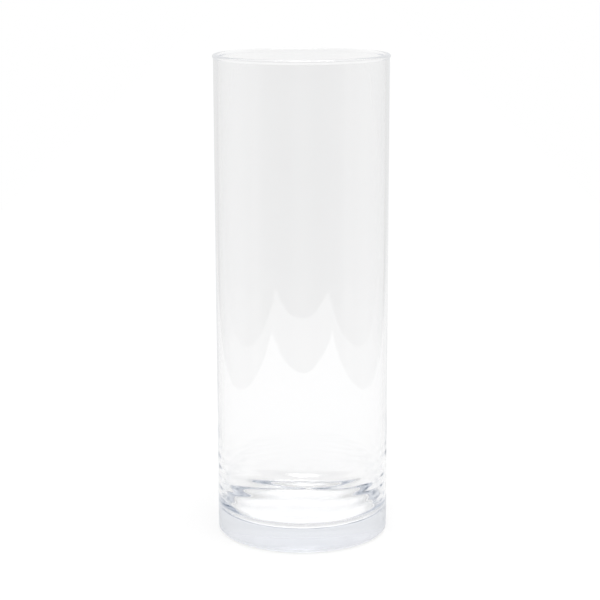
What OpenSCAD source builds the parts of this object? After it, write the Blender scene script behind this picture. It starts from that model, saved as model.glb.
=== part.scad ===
// Clear glass cylinder vase, blown in one piece of glass.
// Frame: the base stands on z = 0, the axis of the cylinder is +Z, millimetres.

/* [Body] */
// Outer diameter of the straight wall
body_d = 100; // [60:1:180]
// Overall height, from the table to the top of the lip
body_h = 280; // [120:1:420]
// Thickness of the straight wall
wall_t = 2.5; // [1.5:0.1:5]

/* [Base] */
// Thickness of the floor where it meets the wall's fillet
floor_t = 12.5; // [6:0.5:25]
// Radius of the fillet inside, between floor and wall
corner_r = 8.5; // [3:0.5:20]
// Rise of the floor in its middle, above its edge
floor_rise = 0.4; // [0:0.1:1.5]
// Radius of the rounded heel, outside at the bottom
heel_r = 2; // [0.5:0.1:4]
// Width of the flat ring that the vase stands on
foot_w = 7; // [3:0.5:15]
// Height of the hollow under the base, in its middle
kick_h = 0.4; // [0.2:0.1:3]

/* [Lip] */
// Height of the rounded top of the lip, from its widest line to its crest
lip_round_h = 1.2; // [0.8:0.1:4]
// How far the lip stands out past the wall
lip_proud = 0.6; // [0:0.1:1.5]
// Length of wall over which it thickens into the lip
lip_blend_h = 1.6; // [1:0.1:6]

/* [Hidden] */
$fn = 180;

// Straight steps that stand for each curve of the outline
arc_steps = 12;
dome_steps = 16;

outer_r = body_d / 2;
bore_r = outer_r - wall_t;
// The wall's fillet and the flat of the floor share this radius
floor_r = bore_r - corner_r;
// The foot ring lies between the heel and the hollow
foot_outer_r = outer_r - heel_r;
foot_inner_r = foot_outer_r - foot_w;
// The lip's cross-section is a half ellipse that fills the thickened wall
lip_half_w = (wall_t + lip_proud) / 2;
lip_line_z = body_h - lip_round_h;

// Points on a quarter or half ellipse, from angle a to angle b
function arc_points(centre, half_w, half_h, a, b) = [
    for (i = [0 : arc_steps])
        let (t = a + (b - a) * i / arc_steps)
            centre + [half_w * cos(t), half_h * sin(t)]
];

// Points of a shallow dome of height rise, from radius r down to the axis
function dome_out_to_in(r, z, rise) = [
    for (i = [1 : dome_steps])
        let (q = 1 - i / dome_steps)
            [r * q, z + rise * (1 - q * q)]
];

// The same dome, from the axis out to radius r
function dome_in_to_out(r, z, rise) = [
    for (i = [0 : dome_steps])
        let (q = i / dome_steps)
            [r * q, z + rise * (1 - q * q)]
];

// The wall's outer face swells smoothly into the lip, from bottom to top
function lip_swell() = [
    for (i = [0 : arc_steps - 1])
        let (q = i / arc_steps)
            [outer_r + lip_proud * (1 - cos(180 * q)) / 2,
             lip_line_z - lip_blend_h * (1 - q)]
];

// Half of the vase's section, anticlockwise from the middle of its underside
function section_points() = concat(
    dome_in_to_out(foot_inner_r, 0, kick_h),
    arc_points([foot_outer_r, heel_r], heel_r, heel_r, -90, 0),
    lip_swell(),
    arc_points([bore_r + lip_half_w, lip_line_z], lip_half_w, lip_round_h, 0, 180),
    arc_points([floor_r, floor_t + corner_r], corner_r, corner_r, 0, -90),
    dome_out_to_in(floor_r, floor_t, floor_rise)
);

// Wall, heavy base and lip: one piece of clear glass
module vase_body() {
    color([0.86, 0.92, 0.95, 0.35])
        rotate_extrude()
            polygon(section_points());
}

vase_body();
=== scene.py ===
# %% [markdown]
# # A clear glass cylinder vase
#
# A florist's cylinder vase is one piece of clear glass: a thin straight wall, a heavy
# floor, a rounded corner where the two meet, and a lip that was melted round in a flame.
# The CAD model gives every size. This script gives the glass its look, then sets up a
# white table, soft light and a camera.
#
# Everything is in metres. The vase stands on z = 0 and its axis is the Z axis.

# %% Load the CAD model as the frame
import math

import bmesh
import bpy
from mathutils import Matrix, Vector, noise


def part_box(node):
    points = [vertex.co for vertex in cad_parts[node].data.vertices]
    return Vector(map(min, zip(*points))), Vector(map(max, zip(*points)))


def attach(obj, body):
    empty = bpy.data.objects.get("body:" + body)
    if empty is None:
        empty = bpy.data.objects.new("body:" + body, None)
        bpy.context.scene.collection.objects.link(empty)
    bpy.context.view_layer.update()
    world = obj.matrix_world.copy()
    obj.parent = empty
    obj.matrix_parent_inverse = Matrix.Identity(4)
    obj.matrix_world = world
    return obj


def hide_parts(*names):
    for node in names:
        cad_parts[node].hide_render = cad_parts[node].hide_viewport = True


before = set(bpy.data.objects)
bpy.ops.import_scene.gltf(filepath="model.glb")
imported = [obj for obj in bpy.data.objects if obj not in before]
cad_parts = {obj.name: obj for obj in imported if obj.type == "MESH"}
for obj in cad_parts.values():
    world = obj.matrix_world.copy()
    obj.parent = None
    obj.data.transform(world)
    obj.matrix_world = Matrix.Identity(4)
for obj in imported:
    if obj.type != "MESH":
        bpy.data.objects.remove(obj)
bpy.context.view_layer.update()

# %% [markdown]
# ## The sizes of the glass
#
# A blown cylinder is round, so half of its section says everything about its shape. The
# sizes below are the CAD model's, and two of them are tested against it: the height and
# the width of the lip. The lip stays a hair inside the CAD one, because the CAD mesh is
# made of flats and its narrowest width is a little under the true one.

# %% Sizes of the wall, the base and the lip
MM = 0.001
wall_outer = 50.0 * MM
wall_inner = 47.5 * MM
height = 280.0 * MM

floor_top = 12.5 * MM
corner = 8.5 * MM
floor_rise = 0.4 * MM
heel = 2.0 * MM
ring_inner = 41.0 * MM
kick = 0.4 * MM

lip_proud = 0.55 * MM
lip_round = 1.2 * MM
lip_blend = 1.6 * MM

low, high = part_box("vase_body")
lip_spare = min(high[0], high[1]) - (wall_outer + lip_proud)
print(f"lip is {lip_spare * 1000:.3f} mm inside the CAD box, height differs by",
      f"{(high[2] - height) * 1000:.3f} mm")

# %% [markdown]
# ## The section of the vase
#
# The outline could be drawn as a Bezier curve and spun with a Screw modifier. It is
# written as a list of points here, because each curve of the real section is a simple one:
# a quarter circle at the heel, an ellipse at the lip, a fillet inside and two shallow
# domes. Glass bends light at every one of them, so each gets many more points than a
# painted pot would need.

# %% Curves of the section
def bend(centre_r, centre_z, half_r, half_z, start, end, steps):
    """Points on part of an ellipse, angles in degrees, without its last point."""
    points = []
    for i in range(steps):
        angle = math.radians(start + (end - start) * i / steps)
        points.append((centre_r + half_r * math.cos(angle), centre_z + half_z * math.sin(angle)))
    return points


def dome(radius, edge_z, rise, steps):
    """A shallow dome from the axis out to a radius, without its last point."""
    return [(radius * i / steps, edge_z + rise * (1 - (i / steps) ** 2)) for i in range(steps)]


def straight(a, b, steps):
    """Evenly spaced points from a to b, without b."""
    return [(a[0] + (b[0] - a[0]) * i / steps, a[1] + (b[1] - a[1]) * i / steps)
            for i in range(steps)]


def swell(steps):
    """The outer face turns smoothly from the wall into the lip."""
    points = []
    for i in range(steps):
        q = i / steps
        points.append((wall_outer + lip_proud * (1 - math.cos(math.pi * q)) / 2,
                       height - lip_round - lip_blend * (1 - q)))
    return points

# %% The whole section, from the middle of the underside to the middle of the floor
lip_z = height - lip_round
lip_half = (wall_outer + lip_proud - wall_inner) / 2
floor_edge = wall_inner - corner
settle_top = 62.0 * MM

section = dome(ring_inner, 0.0, kick, 18)
section += straight((ring_inner, 0.0), (wall_outer - heel, 0.0), 4)
section += bend(wall_outer - heel, heel, heel, heel, -90, 0, 14)
section += straight((wall_outer, heel), (wall_outer, lip_z - lip_blend), 96)
section += swell(16)
section += bend(wall_inner + lip_half, lip_z, lip_half, lip_round, 0, 180, 32)
inside_from = len(section)
section += straight((wall_inner, lip_z), (wall_inner, settle_top), 84)
section += straight((wall_inner, settle_top), (wall_inner, floor_top + corner), 80)
section += bend(floor_edge, floor_top + corner, corner, corner, 0, -90, 48)
inside_to = len(section)
section += [(r, z) for r, z in reversed(dome(floor_edge, floor_top, floor_rise, 20)
                                        + [(floor_edge, floor_top)])]
print(len(section), "points in the section, from", section[0], "to", section[-1])

# %% [markdown]
# ## Turning the section into glass
#
# A mould gives the outside of a blown vase a true surface. The inside only ever touches
# air, so it keeps the draw of the molten glass: long, faint waves that run up the wall.
# They are far too small to feel, but they are what makes a real vase shimmer. So the
# rings of the inner wall get a little noise, stretched along the axis, and the outside
# stays true. Low down there are also faint level rings, as glass has where it set while
# the heavy base sagged. Both fade out before the lip and the floor, so nothing shows a
# seam. They could be a bump map, but a bump does not bend the light that passes through.

# %% Waves of the inner wall
wave_size = 0.10 * MM
settle_size = 0.11 * MM


def smooth(low, high, value):
    """0 at low, 1 at high, and a soft slope between them. Low may be the larger one."""
    q = min(1.0, max(0.0, (value - low) / (high - low)))
    return q * q * (3 - 2 * q)


def draw_waves(angle, z):
    """Long waves up the wall: how far the inner face stands in, in metres, never out."""
    fade = smooth(floor_top + corner, settle_top, z) * smooth(lip_z, lip_z - 0.02, z)
    x, y = math.cos(angle), math.sin(angle)
    broad = noise.noise(Vector((x * 2.1, y * 2.1, z * 7.0)))
    fine = noise.noise(Vector((x * 6.5 + 9.0, y * 6.5, z * 3.0)))
    return wave_size * fade * (0.6 + 0.7 * broad + 0.3 * fine)


def settle_rings(angle, z):
    """Rings low on the wall, where the glass set as the heavy base sagged."""
    fade = smooth(settle_top, 0.028, z) * smooth(floor_top, floor_top + 0.004, z)
    x, y = math.cos(angle), math.sin(angle)
    sway = noise.noise(Vector((x * 1.3, y * 1.3, z * 20.0))) * 2.5
    tilt = 0.0016 * noise.noise(Vector((x * 0.9 + 4.0, y * 0.9, 1.0)))
    ring = math.sin((z + tilt) / 0.0062 * 2 * math.pi + sway)
    cross = noise.noise(Vector((x * 9.0, y * 9.0, z * 140.0)))
    return settle_size * fade * (1.0 + 0.75 * ring + 0.55 * cross)


print("waves at mid height, mm:",
      [round(draw_waves(math.radians(a), 0.15) * 1000, 3) for a in range(0, 360, 60)])
print("rings at 25 mm, mm:",
      [round(settle_rings(math.radians(a), 0.025) * 1000, 3) for a in range(0, 360, 60)])

# %% Spin the section about the axis
around = 288


def spin_glass(name, outline):
    """A closed body of revolution: rings of points, with one point at each end."""
    mesh = bpy.data.meshes.new(name)
    bm = bmesh.new()
    first = bm.verts.new((0, 0, outline[0][1]))
    last = bm.verts.new((0, 0, outline[-1][1]))
    rings = []
    for i in range(1, len(outline) - 1):
        r, z = outline[i]
        facing = Vector((outline[i + 1][1] - outline[i - 1][1],
                         outline[i - 1][0] - outline[i + 1][0])).normalized()
        ring = []
        for k in range(around):
            angle = 2 * math.pi * k / around
            lift = 0.0
            if inside_from < i < inside_to:
                lift = draw_waves(angle, z) + settle_rings(angle, z)
            reach = r + facing.x * lift
            ring.append(bm.verts.new((reach * math.cos(angle), reach * math.sin(angle),
                                      z + facing.y * lift)))
        rings.append(ring)
    for k in range(around):
        nxt = (k + 1) % around
        bm.faces.new((first, rings[0][nxt], rings[0][k]))
        for a, b in zip(rings, rings[1:]):
            bm.faces.new((a[k], a[nxt], b[nxt], b[k]))
        bm.faces.new((last, rings[-1][k], rings[-1][nxt]))
    bmesh.ops.recalc_face_normals(bm, faces=bm.faces)
    for face in bm.faces:
        face.smooth = True
    bm.to_mesh(mesh)
    print(name, "volume", round(bm.calc_volume() * 1e6, 1), "cm3,", len(bm.faces), "faces,",
          len([e for e in bm.edges if not e.is_manifold]), "open edges")
    bm.free()
    piece = bpy.data.objects.new(name, mesh)
    bpy.context.scene.collection.objects.link(piece)
    return piece


vase = spin_glass("vase_glass", section)

# %% [markdown]
# ## The finish of the glass
#
# Clear soda-lime glass has three things to get right. Its refractive index, 1.52, sets
# how much it bends and mirrors. Its colour sits in the body, not on the surface: a thin
# wall looks colourless, and the heavy base looks faintly blue, so the colour comes from a
# Volume Absorption node. Last, its surface is almost perfect but not quite: faint draw
# lines run up the wall, the foot is worn dull where it has stood on tables, and there are
# wipe marks.

# %% A helper that wires up nodes
def wire(tree, kind, inputs=None, **settings):
    """Adds a node. Inputs are values, or sockets of other nodes to link from."""
    node = tree.nodes.new(kind)
    for key, value in settings.items():
        setattr(node, key, value)
    for key, value in (inputs or {}).items():
        if isinstance(value, bpy.types.NodeSocket):
            tree.links.new(value, node.inputs[key])
        else:
            node.inputs[key].default_value = value
    return node


def sum_of(tree, *sockets):
    """Adds any number of sockets together."""
    total = sockets[0]
    for socket in sockets[1:]:
        total = wire(tree, "ShaderNodeMath", {0: total, 1: socket}, operation="ADD").outputs[0]
    return total


def times(tree, socket, factor):
    """Multiplies a socket by a number."""
    return wire(tree, "ShaderNodeMath", {0: socket, 1: factor}, operation="MULTIPLY").outputs[0]

# %% Body colour and refraction
tint_colour = (0.23, 0.47, 0.98)
tint_density = 0.9

glass = bpy.data.materials.new("clear_glass")
glass.use_nodes = True
tree = glass.node_tree
tree.nodes.clear()
output = tree.nodes.new("ShaderNodeOutputMaterial")
body = wire(tree, "ShaderNodeBsdfPrincipled", {
    "Base Color": (0.978, 0.978, 0.978, 1.0),
    "Transmission Weight": 1.0,
    "IOR": 1.52,
    "Roughness": 0.0,
})
tint = wire(tree, "ShaderNodeVolumeAbsorption", {
    "Color": (*tint_colour, 1.0),
    "Density": tint_density,
})
tree.links.new(body.outputs["BSDF"], output.inputs["Surface"])
tree.links.new(tint.outputs["Volume"], output.inputs["Volume"])
print("glass loses", [round(tint_density * (1 - c), 2) for c in tint_colour], "per metre")

# %% Draw lines, ripples and wear
place = tree.nodes.new("ShaderNodeTexCoord").outputs["Object"]
drawn = wire(tree, "ShaderNodeMapping", {"Vector": place, "Scale": (1.0, 1.0, 0.035)})
lines = wire(tree, "ShaderNodeTexNoise", {
    "Vector": drawn.outputs[0], "Scale": 420.0, "Detail": 2.0, "Roughness": 0.5})
ripple = wire(tree, "ShaderNodeTexNoise", {
    "Vector": place, "Scale": 60.0, "Detail": 1.0, "Roughness": 0.4})
relief = sum_of(tree, times(tree, lines.outputs["Fac"], 0.35), ripple.outputs["Fac"])
bump = wire(tree, "ShaderNodeBump", {"Height": relief, "Strength": 0.12, "Distance": 0.0002})
tree.links.new(bump.outputs["Normal"], body.inputs["Normal"])

height_now = wire(tree, "ShaderNodeSeparateXYZ", {"Vector": place}).outputs["Z"]
foot = wire(tree, "ShaderNodeMapRange", {
    "Value": height_now, "From Min": 0.0, "From Max": 0.0004, "To Min": 1.0, "To Max": 0.0})
grit = wire(tree, "ShaderNodeTexNoise", {
    "Vector": place, "Scale": 900.0, "Detail": 3.0, "Roughness": 0.7})
worn = wire(tree, "ShaderNodeMath", {0: foot.outputs[0], 1: grit.outputs["Fac"]},
            operation="MULTIPLY")
wipes = wire(tree, "ShaderNodeTexNoise", {
    "Vector": place, "Scale": 35.0, "Detail": 4.0, "Roughness": 0.6})
smear = wire(tree, "ShaderNodeMapRange", {
    "Value": wipes.outputs["Fac"], "From Min": 0.55, "From Max": 0.8, "To Min": 0.0,
    "To Max": 0.02})
dull = sum_of(tree, times(tree, worn.outputs[0], 0.35), smear.outputs[0])
tree.links.new(dull, body.inputs["Roughness"])

# %% [markdown]
# ### Light that is trapped in the glass, painted as a glow
#
# At the lip and in the heavy base, some light is mirrored from face to face many times
# before it gets out. The renderer follows five such turns and then gives up, which would
# leave black lines. So on the last turn the glass glows, though it is no lamp: a painted
# stand-in for the share of the room's light that would get out. In the base this painted
# glow is uneven, a noise pattern of dark blue and white, painted flashes for the dark and
# bright parts of the room that come out side by side in a thick glass foot. Higher up it
# is an even pale grey.

# %% The last turn of trapped light, painted as a glow
turns_followed = 5
# On the last turn the glass glows, though it is no lamp: painted light.
turns = tree.nodes.new("ShaderNodeLightPath").outputs["Glossy Depth"]
last_turn = wire(tree, "ShaderNodeMath", {0: turns, 1: turns_followed - 0.5},
                 operation="GREATER_THAN")
tree.links.new(last_turn.outputs[0], body.inputs["Emission Strength"])

# Painted flashes: noise picks a dark blue, grey or white glow in the base, a painted stand-in
# for the room mirrored there.
painted_flash_noise = wire(tree, "ShaderNodeTexNoise", {
    "Vector": place, "Scale": 95.0, "Detail": 1.0, "Roughness": 0.5})
painted_flash_ramp = wire(tree, "ShaderNodeValToRGB", {"Fac": painted_flash_noise.outputs["Fac"]})
steps = painted_flash_ramp.color_ramp.elements
steps[0].position, steps[0].color = 0.38, (0.02, 0.07, 0.15, 1)
steps[1].position, steps[1].color = 0.62, (1.0, 1.0, 1.0, 1)
steps.new(0.48).color = (0.62, 0.66, 0.72, 1)
# From about 4 cm up to 9 cm the painted flashes fade into an even pale grey glow.
above = wire(tree, "ShaderNodeMapRange", {
    "Value": height_now, "From Min": 0.04, "From Max": 0.09, "To Min": 0.0, "To Max": 1.0})
painted_glow_colour = wire(tree, "ShaderNodeMix", {"Factor": above.outputs[0]}, data_type="RGBA")
tree.links.new(painted_flash_ramp.outputs["Color"], painted_glow_colour.inputs[6])
painted_glow_colour.inputs[7].default_value = (0.74, 0.75, 0.77, 1)
tree.links.new(painted_glow_colour.outputs[2], body.inputs["Emission Color"])

# %% Put the glass in the frame
vase.data.materials.append(glass)
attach(vase, "root")
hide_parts("vase_body")

# %% [markdown]
# ## The table
#
# Clear glass has no look of its own. It shows what stands around it. A white table gives
# it a bright floor to stand on, and its edges mirror in the wall as soft scallops. The
# table is a plain rectangle whose paint glows a little, like a light table, so that it
# stays white up to its edges, with some matt white on top to catch the vase's faint shadow.
# A thick glass base gathers light under itself like a lens. The renderer follows those
# paths poorly, so a painted pool of light stands in: the glow is stronger in a soft round
# spot under the base. Far
# off the lamp lights the table less, so the glow rises a little there to make up for it.

# %% A white table top
front, back, side = -0.46, 12.0, 0.38
# Radii of the painted pool of light under the base, then its glow and the even glow of the rest
# of the table.
spot_inside, spot_edge = 0.034, 0.047
painted_pool_glow, table_glow = 1.08, 0.765
far_from, far_to, far_glow = 0.8, 2.2, 0.035

mesh = bpy.data.meshes.new("table_top")
mesh.from_pydata([(-side, front, 0), (side, front, 0), (side, back, 0), (-side, back, 0)],
                 [], [(0, 1, 2, 3)])
table = bpy.data.objects.new("table_top", mesh)
table.location.z = -0.0004
bpy.context.scene.collection.objects.link(table)

paint = bpy.data.materials.new("white_table")
paint.use_nodes = True
tree = paint.node_tree
tree.nodes.clear()
output = tree.nodes.new("ShaderNodeOutputMaterial")
matt = wire(tree, "ShaderNodeBsdfDiffuse", {"Color": (0.20, 0.20, 0.20, 1.0)})
spot = wire(tree, "ShaderNodeVectorMath",
            {0: tree.nodes.new("ShaderNodeTexCoord").outputs["Object"]}, operation="LENGTH")
# Painted pool of light: the glow is stronger in a round spot under the base.
glow_with_painted_pool = wire(tree, "ShaderNodeMapRange", {
    "Value": spot.outputs["Value"], "From Min": spot_inside, "From Max": spot_edge,
    "To Min": painted_pool_glow, "To Max": table_glow}, interpolation_type="SMOOTHSTEP")
far_lift = wire(tree, "ShaderNodeMapRange", {
    "Value": spot.outputs["Value"], "From Min": far_from, "From Max": far_to,
    "To Min": 0.0, "To Max": far_glow})
glow = wire(tree, "ShaderNodeEmission", {
    "Color": (1, 1, 1, 1), "Strength": sum_of(tree, glow_with_painted_pool.outputs[0], far_lift.outputs[0])})
both = wire(tree, "ShaderNodeAddShader", {0: matt.outputs[0], 1: glow.outputs[0]})
tree.links.new(both.outputs[0], output.inputs["Surface"])
table.data.materials.append(paint)
print("table top", 2 * side, "by", back - front, "m")

# %% [markdown]
# ## The room and the light
#
# The backdrop is white wherever it is seen straight or through the glass. What the glass
# mirrors is a different matter: behind the table the room is white too, at the sides it
# gets darker, and in front it is dark. Each of the four faces of glass that a ray crosses
# mirrors 4 % of that dark room, and this is what gives the upper half of the vase its
# even pale grey. A real room would need walls all round the table, so the backdrop
# instead gives mirrored rays their own greys, set by the direction they leave in.

# %% A white backdrop and a dark room
world = bpy.data.worlds.new("studio")
bpy.context.scene.world = world
world.use_nodes = True
tree = world.node_tree
tree.nodes.clear()
output = tree.nodes.new("ShaderNodeOutputWorld")
path = tree.nodes.new("ShaderNodeLightPath")
way = wire(tree, "ShaderNodeSeparateXYZ",
           {"Vector": tree.nodes.new("ShaderNodeTexCoord").outputs["Generated"]})
flat = wire(tree, "ShaderNodeCombineXYZ", {"X": way.outputs["X"], "Y": way.outputs["Y"]})
unit = wire(tree, "ShaderNodeVectorMath", {0: flat.outputs[0]}, operation="NORMALIZE")
ahead = wire(tree, "ShaderNodeSeparateXYZ", {"Vector": unit.outputs[0]}).outputs["Y"]
turned = wire(tree, "ShaderNodeMapRange", {
    "Value": ahead, "From Min": -1.0, "From Max": 1.0, "To Min": 0.0, "To Max": 1.0}).outputs[0]


def walls(levels):
    """A grey for each direction round the room, from the front at 0 to the back at 1."""
    ramp = wire(tree, "ShaderNodeValToRGB", {"Fac": turned})
    stops = ramp.color_ramp.elements
    while len(stops) < len(levels):
        stops.new(0.5)
    for stop, (at, level) in zip(stops, levels):
        stop.position, stop.color = at, (level, level, level, 1)
    return ramp.outputs["Color"]


low_walls = walls(((0.0, 0.22), (0.02, 0.14), (0.22, 0.25), (0.30, 0.48), (0.36, 0.38),
                   (0.5, 0.56), (0.8, 0.76), (1.0, 0.84)))
high_walls = walls(((0.0, 0.03), (0.35, 0.06), (0.5, 0.40), (0.7, 0.80), (1.0, 0.90)))
upward = wire(tree, "ShaderNodeMapRange", {
    "Value": way.outputs["Z"], "From Min": -0.02, "From Max": 0.10, "To Min": 0.0,
    "To Max": 1.0}).outputs[0]
room = wire(tree, "ShaderNodeMix", {"Factor": upward}, data_type="RGBA")
tree.links.new(low_walls, room.inputs[6])
tree.links.new(high_walls, room.inputs[7])
ceiling = wire(tree, "ShaderNodeMapRange", {
    "Value": way.outputs["Z"], "From Min": 0.75, "From Max": 0.95, "To Min": 0.0,
    "To Max": 1.0}).outputs[0]
roofed = wire(tree, "ShaderNodeMix", {"Factor": ceiling}, data_type="RGBA")
tree.links.new(room.outputs[2], roofed.inputs[6])
roofed.inputs[7].default_value = (0.6, 0.6, 0.6, 1)
mirrored = wire(tree, "ShaderNodeMath", {0: path.outputs["Glossy Depth"], 1: 0.5},
                operation="GREATER_THAN")
seen = wire(tree, "ShaderNodeMix", {"Factor": mirrored.outputs[0]}, data_type="RGBA")
seen.inputs[6].default_value = (1, 1, 1, 1)
tree.links.new(roofed.outputs[2], seen.inputs[7])
sky = wire(tree, "ShaderNodeBackground", {"Color": seen.outputs[2], "Strength": 1.0})
tree.links.new(sky.outputs[0], output.inputs["Surface"])

# %% A soft light overhead
def soft_box(name, place, target, width, length, watts):
    """A rectangular lamp that is aimed at a point and stays out of the picture itself."""
    lamp = bpy.data.lights.new(name, "AREA")
    lamp.shape = "RECTANGLE"
    lamp.size, lamp.size_y = width, length
    lamp.energy = watts
    holder = bpy.data.objects.new(name, lamp)
    holder.location = place
    holder.rotation_euler = (Vector(target) - Vector(place)).to_track_quat("-Z", "Y").to_euler()
    holder.visible_camera = False
    bpy.context.scene.collection.objects.link(holder)
    return holder


soft_box("overhead_box", place=(0.1, -0.25, 1.5), target=(0, 0, 0.1),
         width=1.0, length=0.9, watts=14.0)

# %% [markdown]
# ## The camera
#
# The camera stands about a metre away, a little above the mouth, with a long lens, so
# the mouth is a thin ellipse and the foot a rounder one. It looks down by about 12
# degrees, and a very small turn and roll put the vase a hair right of the middle.

# %% Camera
lens = bpy.data.cameras.new("camera")
lens.lens = 103.44
lens.sensor_width = 36.0
lens.clip_start = 0.01
camera = bpy.data.objects.new("camera", lens)
stand = Vector((0.0, -0.9816, 0.3504))
look_down, look_left, roll = 12.24, 0.067, -0.15
camera.matrix_world = (Matrix.Translation(stand)
                       @ Matrix.Rotation(math.radians(look_left), 4, "Z")
                       @ Matrix.Rotation(math.radians(90 - look_down), 4, "X")
                       @ Matrix.Rotation(math.radians(roll), 4, "Z"))
bpy.context.scene.collection.objects.link(camera)
bpy.context.scene.camera = camera
bpy.context.scene.view_settings.view_transform = "Standard"
print("camera at", tuple(round(v, 4) for v in stand))

# %% [markdown]
# ## Update the scene
#
# The look must not change the size.

# %% Update the scene
bpy.context.view_layer.update()
